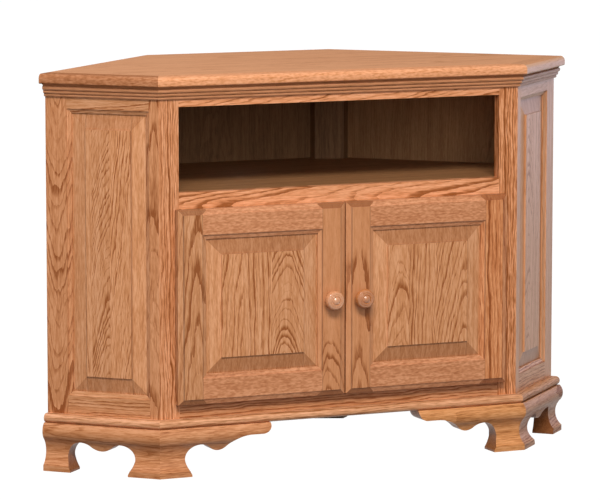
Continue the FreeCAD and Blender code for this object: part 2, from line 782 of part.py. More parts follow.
rear_panel = new_body("rear_panel")
rear_inside_y = back_y - size.rear_thickness
half_back_inside = half_back - size.rear_thickness * MITRE_SHARE
rear_plan = mirror_plan([(-half_back, back_y), (-half_back_inside, rear_inside_y)])
pad(rear_panel, outline(rear_panel, "XY", rear_plan, base_top), top_underside - base_top)
bay_hole_height = bay_top - size.bay_cable_drop
store_middle = (doorway_top - size.board_thickness + shelf_underside + size.board_thickness) / 2
cable_holes = circles(rear_panel, "XZ", [(ZERO, bay_hole_height), (ZERO, store_middle)],
                      size.cable_hole_diameter / 2)
cut_through(rear_panel, cable_holes)
rear_peg_place = half_back - size.peg_inset
rear_peg_holes = circles(rear_panel, "XZ", [(-rear_peg_place, peg_height), (rear_peg_place, peg_height)],
                         peg_hole_radius, -rear_inside_y)
sink(rear_panel, rear_peg_holes, size.peg_seat + size.peg_play)

post_top_y = rear_length - size.rear_thickness * MITRE_SHARE - size.post_width


def post_corners(play):
    """The post's corners that show inside the cabinet, kept clear of by some play."""
    beside = size.post_depth + play
    end = size.post_width + play - half_back_inside
    return [cant_point(rear_inner + play, post_top_y - play),
            cant_point(rear_inner + beside, post_top_y - play),
            (end, rear_inside_y - beside), (end, rear_inside_y - play)]


left_rear_post = new_body("left_rear_post")
post_plan = [(-half_back_inside, rear_inside_y)] + post_corners(ZERO)
pad(left_rear_post, outline(left_rear_post, "XY", post_plan), top_underside)
right_hand(left_rear_post)


def level_board(label, underside, setback, play):
    """A board across the inside of the cabinet, notched round the posts."""
    board = new_body(label)
    depth = size.frame_thickness + setback
    inward = size.frame_thickness + play
    plan = [cant_point(inward - depth / SLANT_SHARE, inward), cant_point(rear_inner + play, inward)]
    plan = mirror_plan(plan + post_corners(play))
    pad(board, outline(board, "XY", plan, underside), size.board_thickness)
    return board


deck_underside = bay_floor - size.board_thickness
floor_underside = doorway_bottom - size.board_thickness
bay_deck = level_board("bay_deck", deck_underside, ZERO, ZERO)
cabinet_floor = level_board("cabinet_floor", floor_underside, ZERO, ZERO)
shelf = level_board("shelf", shelf_underside, size.shelf_setback, size.shelf_play)

side_peg = new_body("left_side_peg")
peg_tip = size.frame_thickness + size.peg_reach
peg_length = size.peg_seat + size.peg_reach
pad(side_peg, circles(side_peg, "XZ", [(side_peg_place, peg_height)], peg_radius, -peg_tip), peg_length)
on_left_cant(side_peg)
rear_peg = new_body("left_rear_peg")
rear_peg_end = rear_inside_y + size.peg_seat
pad(rear_peg, circles(rear_peg, "XZ", [(-rear_peg_place, peg_height)], peg_radius, -rear_peg_end), peg_length)
pegs = [side_peg, rear_peg]
pegs += [mirrored(peg, peg.Label.replace("left", "right")) for peg in pegs]
group("shelf_pegs", pegs)

cleats = []
for label, low, high in (("deck", deck_underside - size.cleat_size, deck_underside),
                         ("floor", base_top, floor_underside)):
    rear_cleat = new_body(label + "_rear_cleat")
    rear_cleat_end = half_back_inside - size.post_width
    rear_cleat_plan = rectangle(-rear_cleat_end, rear_inside_y - size.cleat_size,
                                rear_cleat_end, rear_inside_y)
    pad(rear_cleat, outline(rear_cleat, "XY", rear_cleat_plan, low), high - low)
    side_cleat = new_body(label + "_left_cleat")
    side_cleat_plan = rectangle(rear_inner, size.frame_thickness, rear_inner + size.cleat_size, post_top_y)
    pad(side_cleat, outline(side_cleat, "XY", side_cleat_plan, low), high - low)
    on_left_cant(side_cleat)
    cleats += [rear_cleat, side_cleat, mirrored(side_cleat, label + "_right_cleat")]
group("board_cleats", cleats)

# The base cap: a half-round nosing on a flat frame

nose = size.cap_height / 2
cap_profile = [
    (size.cap_seat, size.foot_height),
    (nose - size.cap_projection, size.foot_height, -nose),
    (-size.cap_projection, size.foot_height + nose, -nose),
    (nose - size.cap_projection, base_top),
    (size.cap_seat, base_top)]
moulding("base_cap", cap_profile, size.cap_projection, size.cap_seat)

# The bracket feet: an ogee face, sawn to scrolls that rise to an arch and hang a drop beside each foot

hollow_centre = size.ogee_waist + size.ogee_hollow_radius
centre_rise = size.ogee_bulge_height - size.ogee_waist_height
centre_sink = size.ogee_bulge - size.ogee_waist
ogee_radii = (centre_rise * centre_rise + centre_sink * centre_sink) / (centre_sink * 2)
bulge_radius = ogee_radii - size.ogee_hollow_radius
bulge_centre = size.ogee_bulge - bulge_radius
turn_share = size.ogee_hollow_radius / ogee_radii
inflection = (hollow_centre + (bulge_centre - hollow_centre) * turn_share,
              size.ogee_waist_height + centre_rise * turn_share)
flare_sink = hollow_centre - size.ogee_flare
flare_drop = root(size.ogee_hollow_radius * size.ogee_hollow_radius - flare_sink * flare_sink)
flare_height = size.ogee_waist_height - flare_drop
head_rise = size.foot_height - size.ogee_bulge_height
ogee_head = bulge_centre + root(bulge_radius * bulge_radius - head_rise * head_rise)
ogee_stock = size.ogee_bulge + size.overrun


def ogee_face(body):
    """Shape the bracket's face: upright at the toe, hollow at the ankle and full under the cap."""
    out = ogee_stock + size.overrun
    over = size.foot_height + size.overrun
    waste = [
        (-out, -size.overrun), (-size.ogee_flare, -size.overrun),
        (-size.ogee_flare, flare_height, size.ogee_hollow_radius),
        (-inflection[0], inflection[1], -bulge_radius),
        (-ogee_head, size.foot_height), (-ogee_head, over), (-out, over)]
    cut_through(body, outline(body, "YZ", waste))


def drop_radius(place_along, height, arch_radius):
    """The radius at which a drop runs smoothly out of the arch beside it."""
    apart = place_along - size.waist_width - arch_radius
    rise = height - size.waist_height
    chord = apart * apart + rise * rise - arch_radius * arch_radius
    return chord / ((arch_radius - rise) * 2)


def foot_scroll(drop_place, drop_height, arch_radius):
    """The scroll from the toe over the arch to where the drop begins, outwards from the foot's end."""
    radius = drop_radius(drop_place, drop_height, arch_radius)
    share = arch_radius / (arch_radius + radius)
    arch_centre = size.waist_width + arch_radius
    turn = (arch_centre + (drop_place - arch_centre) * share,
            size.waist_height + (drop_height + radius - size.waist_height) * share)
    return [(size.foot_width, ZERO), (size.foot_width, size.foot_toe, -size.instep_radius),
            (size.waist_width, size.waist_height, -arch_radius), turn + (radius,)]


left_side_bracket = new_body("left_side_bracket")
side_arch_radius = (size.cant_length / 2 - size.waist_width) * SIDE_ARCH_SHARE
scroll = foot_scroll(size.cant_length / 2, size.side_drop_height, side_arch_radius)
lap = ogee_stock * MITRE_SHARE
floor_corner, toe, waist, drop_start = scroll
far_half = [(corner[0] - size.cant_length,) + corner[1:] for corner in scroll]
near_half = [
    (-drop_start[0], drop_start[1], -side_arch_radius), (-waist[0], waist[1], -size.instep_radius),
    (-toe[0], toe[1]), (-floor_corner[0], floor_corner[1])]
side_bracket_outline = [
    (lap, size.foot_height), (-size.cant_length, size.foot_height), (-size.cant_length, ZERO)]
side_bracket_outline += far_half + near_half + [(lap, ZERO)]
pad(left_side_bracket, outline(left_side_bracket, "XZ", side_bracket_outline, -size.bracket_back),
    size.bracket_back + ogee_stock)
ogee_face(left_side_bracket)
mitre(left_side_bracket, ZERO, -1, ogee_stock, size.bracket_back)
right_hand(on_left_cant(left_side_bracket))

left_front_bracket = new_body("left_front_bracket")
front_arch_radius = (size.front_drop_place - size.waist_width) * FRONT_ARCH_SHARE
front_scroll = foot_scroll(size.front_drop_place, size.front_drop_height, front_arch_radius)
front_drop_radius = drop_radius(size.front_drop_place, size.front_drop_height, front_arch_radius)
drop_centre_height = size.front_drop_height + front_drop_radius
tail_centre_height = size.tail_height - size.tail_radius
tail_reach = front_drop_radius + size.tail_radius
tail_fall = drop_centre_height - tail_centre_height
tail_centre = size.front_drop_place + root(tail_reach * tail_reach - tail_fall * tail_fall)
tail_share = front_drop_radius / tail_reach
tail_start = (size.front_drop_place + (tail_centre - size.front_drop_place) * tail_share,
              drop_centre_height - tail_fall * tail_share)
tip_height = size.foot_height - size.tail_tip_flat
front_outline = [(-lap, size.foot_height), (-lap, ZERO)] + front_scroll
front_outline += [
    tail_start + (-size.tail_radius,), (tail_centre, size.tail_height),
    (size.bracket_length - size.tail_tip_radius, tip_height - size.tail_tip_radius, size.tail_tip_radius),
    (size.bracket_length, tip_height), (size.bracket_length, size.foot_height)]
front_outline = [(corner[0] - half_front,) + corner[1:] for corner in front_outline]
pad(left_front_bracket, outline(left_front_bracket, "XZ", front_outline, -size.bracket_back),
    size.bracket_back + ogee_stock)
ogee_face(left_front_bracket)
mitre(left_front_bracket, -half_front, 1, ogee_stock, size.bracket_back)
right_hand(on_front(left_front_bracket))

# A glue block behind each mitred foot

left_block = new_body("left_foot_block")
inside_corner = -(size.bracket_back * MITRE_SHARE)
block_depth = size.bracket_back + size.foot_block_depth
front_block_end = size.bracket_back * MITRE_SHARE + size.foot_block_width - half_front
block_plan = [
    cant_point(inside_corner, size.bracket_back),
    (front_block_end, front_y + size.bracket_back),
    (front_block_end, front_y + block_depth),
    cant_point(inside_corner - size.foot_block_width, block_depth),
    cant_point(inside_corner - size.foot_block_width, size.bracket_back)]
block_height = size.foot_height - size.foot_block_lift
pad(left_block, outline(left_block, "XY", block_plan, size.foot_block_lift), block_height)
group("foot_blocks", [left_block, mirrored(left_block, "right_foot_block")])

# Every feature is checked before anything is written

doc.recompute()
for thing in doc.Objects:
    if "Invalid" in thing.State or "Error" in thing.State:
        raise RuntimeError("%s did not build" % thing.Label)
    if thing.TypeId == "PartDesign::Pocket" and thing.Shape.Volume >= thing.BaseFeature.Shape.Volume:
        raise RuntimeError("%s cuts nothing" % thing.Label)
for node in nodes:
    if node.Shape.isNull() or not node.Shape.isValid():
        raise RuntimeError("%s has no valid shape" % node.Label)

os.makedirs("parts", exist_ok=True)
for node in nodes:
    node.Shape.exportStep("parts/%s.step" % node.Label)
    print("%-26s %d solid(s), %9.0f cubic mm" % (node.Label, len(node.Shape.Solids), node.Shape.Volume))
print("%d pieces" % len(nodes))
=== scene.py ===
# %% [markdown]
# # A corner television cabinet in oak
#
# The cabinet stands across the corner of a room: a wide front with an open bay over a pair of
# raised-panel doors, a canted framed side at each end, a moulded top and ogee bracket feet. Its
# construction comes from CAD as a fixed frame, so every board already has its real shape and place.
# This lesson gives each board its own oak and the fittings their metal, adds the hinges' small
# screws, and lights the whole as in a furniture maker's catalogue.

# %% Load the frame
import math
from types import SimpleNamespace

import bmesh
import bpy
from mathutils import Matrix, Vector


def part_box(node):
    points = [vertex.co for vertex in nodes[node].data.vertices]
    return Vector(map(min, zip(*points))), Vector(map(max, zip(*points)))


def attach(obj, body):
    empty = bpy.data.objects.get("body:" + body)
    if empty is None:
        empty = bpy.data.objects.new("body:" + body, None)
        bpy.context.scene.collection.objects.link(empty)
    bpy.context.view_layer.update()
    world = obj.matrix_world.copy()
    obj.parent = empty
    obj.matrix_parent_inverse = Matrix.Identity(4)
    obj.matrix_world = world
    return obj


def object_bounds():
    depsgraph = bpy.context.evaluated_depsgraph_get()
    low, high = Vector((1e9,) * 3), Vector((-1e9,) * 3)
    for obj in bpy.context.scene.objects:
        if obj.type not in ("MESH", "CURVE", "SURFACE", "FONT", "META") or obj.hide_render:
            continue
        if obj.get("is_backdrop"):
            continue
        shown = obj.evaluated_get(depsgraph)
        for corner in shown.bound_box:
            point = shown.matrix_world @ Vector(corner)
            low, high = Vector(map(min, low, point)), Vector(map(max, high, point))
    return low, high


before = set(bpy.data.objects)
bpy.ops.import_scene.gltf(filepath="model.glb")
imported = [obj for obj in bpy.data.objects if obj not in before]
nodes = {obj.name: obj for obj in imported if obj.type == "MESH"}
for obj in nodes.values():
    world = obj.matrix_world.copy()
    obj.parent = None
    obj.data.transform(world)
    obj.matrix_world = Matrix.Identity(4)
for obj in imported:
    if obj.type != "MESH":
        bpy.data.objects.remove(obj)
cad_low, cad_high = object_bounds()
MM = 0.001
cad_sides = [round(side, 4) for side in cad_high - cad_low]
print("the frame holds", len(nodes), "pieces in a box of", cad_sides)

# %% [markdown]
# ## The camera
#
# The photograph looks at the cabinet from its left and a little above, with a long lens: the
# front's level lines rise only slightly towards the right. Angles, distance and focal length were
# found by laying the cabinet's corners over their places in the picture. A long lens far away keeps
# the uprights nearly parallel, which a nearer, wider one would not.

# %% Place the camera
PICTURE_WIDTH = 600
TURN = math.radians(-23.6)
RISE = math.radians(7.4)
DISTANCE = 7.33
FOCAL_PIXELS = 3697
SHIFT_PIXELS = (-6.2, 3.6)
SENSOR_WIDTH = 36.0
FARTHEST = 100.0

camera_data = bpy.data.cameras.new("camera")
camera_data.sensor_width = SENSOR_WIDTH
camera_data.lens = FOCAL_PIXELS * SENSOR_WIDTH / PICTURE_WIDTH
camera_data.shift_x = -SHIFT_PIXELS[0] / PICTURE_WIDTH
camera_data.shift_y = SHIFT_PIXELS[1] / PICTURE_WIDTH
camera_data.clip_end = FARTHEST
camera = bpy.data.objects.new("camera", camera_data)
across = math.cos(RISE)
backwards = Vector((math.sin(TURN) * across, -math.cos(TURN) * across, math.sin(RISE)))
aim = Vector((0.0, 0.0, (cad_low.z + cad_high.z) / 2))
camera.location = aim + backwards * DISTANCE
camera.rotation_euler = (-backwards).to_track_quat("-Z", "Y").to_euler()
bpy.context.collection.objects.link(camera)
bpy.context.scene.camera = camera
print("the lens is", round(camera_data.lens), "mm long")

# %% [markdown]
# ## Colour and nodes
#
# Colours are picked as sRGB hex values, the way a colour chart gives them, while the renderer
# counts light, so one function turns them to linear values. Another adds a node with its settings
# and links, which keeps every material below down to what it is made of.

# %% Two small helpers

def linear(hexadecimal):
    """An sRGB hex colour as linear red, green, blue and alpha."""
    channels = [int(hexadecimal[place:place + 2], 16) / 255 for place in (1, 3, 5)]
    return [c / 12.92 if c <= 0.04045 else ((c + 0.055) / 1.055) ** 2.4 for c in channels] + [1.0]


def add(tree, kind, inputs=None, output=0, **settings):
    """Add a shader node with its settings, links and values, and return one of its outputs."""
    node = tree.nodes.new("ShaderNode" + kind)
    for name, value in settings.items():
        setattr(node, name, value)
    for socket, value in (inputs or {}).items():
        if isinstance(value, bpy.types.NodeSocket):
            tree.links.new(value, node.inputs[socket])
        else:
            node.inputs[socket].default_value = value
    return node.outputs[output] if node.outputs else node


print("mid grey is", round(linear("#808080")[0], 3), "in linear light")

# %% [markdown]
# ## Floor and sky
#
# A catalogue cut-out has a white ground. The floor and the sky are white to the eye and to
# mirror-like rays, because varnish shows what stands around it, which gives the right-hand cant its
# grey sheen. For the light that they throw on the cabinet, both are far darker, or the shadows
# under the edges would fill up. The floor's white is a little stronger than full, so that it stays
# plain under the cabinet's shadow.

# %% Lay the floor and hang the sky
FLOOR_RADIUS = 60.0
FLOOR_SIDES = 64
WHITE_SHARE = 0.96
WHITE_STRENGTH = 1.06
SKY_STRENGTH = 0.2

scene = bpy.context.scene
scene.view_settings.view_transform = "Standard"


def seen_directly(tree):
    """1 for rays that show the white ground itself: camera, mirror-like and see-through rays."""
    kinds = add(tree, "LightPath").node.outputs
    shown = kinds["Is Camera Ray"]
    for kind in ("Is Glossy Ray", "Is Transmission Ray"):
        shown = add(tree, "Math", {0: shown, 1: kinds[kind]}, operation="MAXIMUM")
    return shown


def blank_material(name):
    """A new material whose node tree is still empty."""
    material = bpy.data.materials.new(name)
    material.use_nodes = True
    material.node_tree.nodes.clear()
    return material


sky = bpy.data.worlds.new("sky")
sky.use_nodes = True
tree = sky.node_tree
tree.nodes.clear()
strength = add(tree, "MapRange", {"Value": seen_directly(tree), "To Min": SKY_STRENGTH})
glow = add(tree, "Background", {"Color": linear("#FFFFFF"), "Strength": strength})
add(tree, "OutputWorld", {"Surface": glow})
scene.world = sky

floor_shape = bmesh.new()
bmesh.ops.create_circle(floor_shape, cap_ends=True, segments=FLOOR_SIDES, radius=FLOOR_RADIUS)
floor_mesh = bpy.data.meshes.new("floor")
floor_shape.to_mesh(floor_mesh)
floor_shape.free()
floor = bpy.data.objects.new("floor", floor_mesh)
bpy.context.collection.objects.link(floor)
floor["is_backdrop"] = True

ground = blank_material("white studio floor")
tree = ground.node_tree
pale = add(tree, "BsdfDiffuse", {"Color": linear("#F2F1EF")})
white = add(tree, "Emission", {"Color": linear("#FFFFFF"), "Strength": WHITE_STRENGTH})
to_the_eye = add(tree, "MixShader", {0: WHITE_SHARE, 1: pale, 2: white})
dull = add(tree, "BsdfDiffuse", {"Color": linear("#68635E")})
floor_finish = add(tree, "MixShader", {0: seen_directly(tree), 1: dull, 2: to_the_eye})
add(tree, "OutputMaterial", {"Surface": floor_finish})
floor_mesh.materials.append(ground)
print("the floor reaches", FLOOR_RADIUS, "m, to the horizon at this height")

# %% [markdown]
# ## Lamps
#
# One wide box high in front, a little to the left, does most of the work: it lights the front and
# the left cant nearly alike and leaves dark lines under every edge. It is wide but not tall, so the
# shadow under a moulding stays crisp while the knobs get a broad highlight. A small high box puts
# the bright spot on the knobs' shoulders. A lower box softens the shadows and reaches through the
# bay to its back, a weak cool one stands far to the right, and one behind shows the back.

# %% Set the lamps

def lamp(name, place, width, height, power, colour):
    """A soft box that faces the middle of the cabinet: metres, watts and a hex colour."""
    data = bpy.data.lights.new(name, "AREA")
    data.shape = "RECTANGLE"
    data.size = width
    data.size_y = height
    data.energy = power
    data.color = linear(colour)[:3]
    box = bpy.data.objects.new(name, data)
    box.location = place
    box.rotation_euler = (aim - Vector(place)).to_track_quat("-Z", "Y").to_euler()
    bpy.context.collection.objects.link(box)
    return box


lamp("key box", (-1.5, -4.5, 4.3), 2.8, 1.3, 296.0, "#FFF9F0")
lamp("high box", (-2.4, -0.7, 3.9), 0.6, 0.6, 26.0, "#F4EEFF")
lamp("fill box", (-1.4, -5.0, 1.7), 2.4, 2.0, 58.0, "#FFFAF4")
lamp("far cool box", (4.4, 2.0, 0.4), 2.4, 2.0, 17.0, "#DCD8FF")
back_box = lamp("back box", (-0.4, 5.6, 1.9), 3.0, 2.0, 110.0, "#FFFAF4")
back_box.visible_glossy = False  # or the shelf would mirror it through a cable hole
lamps = [thing for thing in scene.objects if thing.type == "LIGHT"]
print("lit by", len(lamps), "soft boxes and the sky")

# %% [markdown]
# ## Oak, board by board
#
# Red oak under a medium stain and satin varnish: light, dense late wood crossed by dark lines of
# open pores, one line for each year. A flat stripe texture can't turn a corner, so the grain here
# is solid, as it is in timber. Each board is laid in an imaginary trunk whose heart lies some way
# behind the board's face and to its side. A board cut near the heart shows pointed flames, and one
# cut far to the side shows straight lines. A wide panel is glued up from staves, each from its own
# place in the trunk, so a chart gives every stave its own heart, taper and tone. Bevels and ends
# then show the right grain by themselves.

# %% Lay a board in its trunk
UP = Vector((0, 0, 1))
FRONT = Vector((0, -1, 0))
LEFT = Vector((-1, -1, 0)).normalized()
RIGHT = Vector((1, -1, 0)).normalized()
ALONG_FRONT = Vector((1, 0, 0))
ALONG_LEFT = Vector((1, -1, 0)).normalized()
ALONG_RIGHT = Vector((1, 1, 0)).normalized()
CHART_REACH = 400.0
MIDDLE = 0.5  # a chart's colours hold 0 to 1, so values of either sign lie about the middle
TOP_TONE = 2.0
SEED_SPREAD = 61.0


def lay_board(tree, node, seed, grain, face, staves):
    """Millimetres along and aside from a board's middle, and the point seen from its stave's heart.

    A stave says where it begins, how far aside and behind its heart lies, how fast the trunk
    tapers, and its tone. Aside is to the left where the grain runs up, and upwards where it runs
    across.
    """
    low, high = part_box(node)
    turn = Matrix((grain, face.cross(grain), face)).transposed().to_euler()
    place = add(tree, "TexCoord", output="Object")
    spot = add(tree, "Mapping", {"Vector": place, "Location": (low + high) / 2, "Rotation": turn,
                                 "Scale": (MM, MM, MM)}, vector_type="TEXTURE")
    along, aside, deep = add(tree, "SeparateXYZ", {0: spot}).node.outputs

    chart_place = add(tree, "Math", {0: aside, 1: 1 / CHART_REACH, 2: MIDDLE},
                      operation="MULTIPLY_ADD")
    chart = add(tree, "ValToRGB", {"Fac": chart_place})
    chart.node.color_ramp.interpolation = "CONSTANT"
    stops = chart.node.color_ramp.elements
    stops.remove(stops[1])
    for number, (begin, heart_aside, heart_behind, taper, tone) in enumerate(staves):
        stop = stops.new(begin / CHART_REACH + MIDDLE) if number else stops[0]
        stop.color = (heart_aside / CHART_REACH + MIDDLE, heart_behind / CHART_REACH,
                      tone / TOP_TONE, taper + MIDDLE)
    chart_aside, chart_behind, chart_tone = add(tree, "SeparateXYZ", {0: chart}).node.outputs

    heart = add(tree, "Math", {0: chart_aside, 1: CHART_REACH, 2: -CHART_REACH * MIDDLE},
                operation="MULTIPLY_ADD")
    from_heart = add(tree, "Math", {0: aside, 1: heart}, operation="SUBTRACT")
    depth = add(tree, "Math", {0: chart_behind, 1: CHART_REACH, 2: deep}, operation="MULTIPLY_ADD")
    return SimpleNamespace(
        along=along, aside=aside,
        timber=add(tree, "CombineXYZ", {0: along, 1: from_heart, 2: depth}),
        taper=add(tree, "Math", {0: chart.node.outputs["Alpha"], 1: MIDDLE}, operation="SUBTRACT"),
        tone=add(tree, "Math", {0: chart_tone, 1: TOP_TONE}, operation="MULTIPLY"),
        seed=add(tree, "Math", {0: chart_aside, 1: SEED_SPREAD, 2: seed}, operation="MULTIPLY_ADD"))


print("the chart of staves reaches", CHART_REACH / 2, "mm to each side")

# %% [markdown]
# ## The years
#
# A year's growth is a cylinder round the heart, a few millimetres thick. Perfect cylinders look
# drawn with a compass, so three noises push the radius about: a slow one that bends the whole
# trunk, a ripple, and a fine one that frays the lines. Wet and dry spells make the years wider or
# narrower and bolder or fainter. Each year begins with a sharp dark edge, where the wide pores
# open, and then fades out.

# %% Grow the years
# Waves are given along and across the grain, and waves, pushes and spells in millimetres.
BEND_WAVE = (190.0, 48.0)
RIPPLE_WAVE, RIPPLE_PUSH = (55.0, 14.0), 7.0
FRAY_WAVE, FRAY_PUSH = (22.0, 3.4), 3.0
WIDTH_SPELL, WIDTH_PUSH = 16.0, 9.0
BOLDNESS_SPELL = 30.0
BOLDNESS_SPAN = {"From Min": 0.36, "From Max": 0.6}
FAINTEST_YEAR, FAINTEST_SPELL = 0.3, 0.4
SEASON = ((0.16, 0.92), (0.34, 0.55), (0.55, 0.2), (0.8, 0.0))
YEAR_END = 0.98


def grain_noise(tree, board, lengthwise, crosswise, detail):
    """A noise drawn out along the grain, its waves given in millimetres."""
    shares = (1 / lengthwise, 1 / crosswise, 1 / crosswise)
    drawn = add(tree, "VectorMath", {0: board.timber, 1: shares}, operation="MULTIPLY")
    return add(tree, "TexNoise", {"Vector": drawn, "W": board.seed, "Scale": 1.0, "Detail": detail},
               noise_dimensions="4D")


def spells(tree, board, radius, width):
    """A noise over the years: wet and dry spells, their length given in millimetres of growth."""
    spot = add(tree, "Math", {0: radius, 1: 1 / width, 2: board.seed}, operation="MULTIPLY_ADD")
    return add(tree, "TexNoise", {"W": spot, "Scale": 1.0, "Detail": 1.0}, noise_dimensions="1D")


def year_lines(tree, board, year, wander):
    """Dark where a year begins: years of the given width, whose lines wander by millimetres."""
    drift = grain_noise(tree, board, *BEND_WAVE, 1.5).node.outputs["Color"]
    drift = add(tree, "VectorMath", {0: drift, 1: (MIDDLE, MIDDLE, MIDDLE)}, operation="SUBTRACT")
    bent = add(tree, "VectorMath", {0: drift, 1: (0.0, wander * 2, wander * 2), 2: board.timber},
               operation="MULTIPLY_ADD")
    round_heart = add(tree, "VectorMath", {0: bent, 1: (0.0, 1.0, 1.0)}, operation="MULTIPLY")
    radius = add(tree, "VectorMath", {0: round_heart}, output="Value", operation="LENGTH")
    radius = add(tree, "Math", {0: board.along, 1: board.taper, 2: radius},
                 operation="MULTIPLY_ADD")
    ripple = grain_noise(tree, board, *RIPPLE_WAVE, 1.0)
    radius = add(tree, "Math", {0: ripple, 1: RIPPLE_PUSH, 2: radius}, operation="MULTIPLY_ADD")
    fray = grain_noise(tree, board, *FRAY_WAVE, 2.0)
    radius = add(tree, "Math", {0: fray, 1: FRAY_PUSH, 2: radius}, operation="MULTIPLY_ADD")
    widening = spells(tree, board, radius, WIDTH_SPELL)
    radius = add(tree, "Math", {0: widening, 1: WIDTH_PUSH, 2: radius}, operation="MULTIPLY_ADD")

    years = add(tree, "Math", {0: radius, 1: year}, operation="DIVIDE")
    number = add(tree, "Math", {0: add(tree, "Math", {0: years}, operation="FLOOR"), 1: board.seed})
    weather = add(tree, "TexWhiteNoise", {"W": number}, noise_dimensions="1D")
    weather = add(tree, "MapRange", {"Value": weather, "To Min": FAINTEST_YEAR})
    growth = spells(tree, board, radius, BOLDNESS_SPELL)
    growth = add(tree, "MapRange", {"Value": growth, "To Min": FAINTEST_SPELL} | BOLDNESS_SPAN)
    weather = add(tree, "Math", {0: weather, 1: growth}, operation="MULTIPLY")

    season = add(tree, "ValToRGB", {"Fac": add(tree, "Math", {0: years}, operation="FRACT")})
    stops = season.node.color_ramp.elements
    stops[0].color = (1, 1, 1, 1)
    stops[1].position, stops[1].color = YEAR_END, (0, 0, 0, 1)
    for position, share in SEASON:
        stops.new(position).color = (share, share, share, 1)
    early = add(tree, "Math", {0: season, 1: weather})
    return add(tree, "Math", {0: early, 1: 1.0}, operation="SUBTRACT", use_clamp=True)


print("a year's line fades over", len(SEASON), "steps")

# %% [markdown]
# ## Pores and end grain
#
# Between the year lines the wood is flecked with short dashes of pores and streaked with slow
# changes of tone. A pore is a fraction of a millimetre wide; here dashes two or three millimetres
# wide stand for rows of them, because anything finer is lost at this distance. End grain drinks
# stain, so it is told by its direction: the more a face looks along the grain, the more it soaks
# up.

# %% Mark the pores
# Spans are stretches of a noise, of the cosine between two directions or of millimetres.
SOAK_SPAN = {"From Min": 0.02, "From Max": 0.22}
DASH_SPAN = {"From Min": 0.38, "From Max": 0.66}
PORE_SPAN = {"From Min": 0.45, "From Max": 0.7}
STREAK_SPAN = {"From Min": 0.34, "From Max": 0.66}
LINE_SHARE, DASHED_SHARE = 0.75, 0.6
PORE_WAVE, PORE_SHARE = (8.0, 0.8), 0.15
STREAK_WAVE, STREAK_SHARE = (140.0, 7.0), 0.24


def soaked_ends(tree, normal, grain, soak):
    """How much stain a face has soaked up: none along the grain, the given share across it."""
    end_grain = add(tree, "VectorMath", {0: normal, 1: grain}, output="Value",
                    operation="DOT_PRODUCT")
    end_grain = add(tree, "Math", {0: end_grain}, operation="ABSOLUTE")
    return add(tree, "MapRange", {"Value": end_grain, "To Max": soak} | SOAK_SPAN)


def pore_marks(tree, board, early, bold, fleck, dash):
    """Year lines broken into dashes, with flecks, fine pores and slow streaks between them."""
    dashes, pores, streaks = [
        add(tree, "MapRange", {"Value": grain_noise(tree, board, *wave, detail)} | span)
        for wave, detail, span in ((dash, 1.5, DASH_SPAN), (PORE_WAVE, 1.0, PORE_SPAN),
                                   (STREAK_WAVE, 2.0, STREAK_SPAN))]
    broken = add(tree, "Math", {0: dashes, 1: DASHED_SHARE * bold, 2: LINE_SHARE * bold},
                 operation="MULTIPLY_ADD")
    figure = add(tree, "Math", {0: early, 1: broken}, operation="MULTIPLY")
    for mark, share in ((dashes, fleck), (pores, PORE_SHARE), (streaks, STREAK_SHARE)):
        figure = add(tree, "Math", {0: mark, 1: share, 2: figure}, operation="MULTIPLY_ADD")
    return figure


print("fine pores are", PORE_WAVE[0], "mm long and streaks", STREAK_WAVE[0], "mm")

# %% [markdown]
# ## Stain and varnish
#
# Three tones colour the figure, from late wood to pores. Faces across the grain turn darker with
# stain and lose their figure, and the slopes of a raised panel, cut at a slant through the pores,
# lose most of theirs. A fine line of painted shade darkens the narrow quirks beside a moulding and
# the foot of a raised field's step. Varnish lies a little rougher over the open pores, and sinks
# into them by a fraction of a millimetre.

# %% Finish a board
LEVEL_SPAN = {"From Min": 0.992, "From Max": 0.997}
UPWARD_SPAN = {"From Min": 0.4, "From Max": 0.9}
QUIRK_SPAN = {"From Min": 0.6, "From Max": 1.8}
STAIN = (-0.47, -0.58, -0.7)
# the darkest share of a painted shade line in a quirk
QUIRK_TONE = 0.66
TONE_PLACES = (0.06, 0.36, 0.95)
PORE_ROUGHNESS = 0.14
PORE_RELIEF, PORE_DEPTH = 0.3, 0.2 * MM


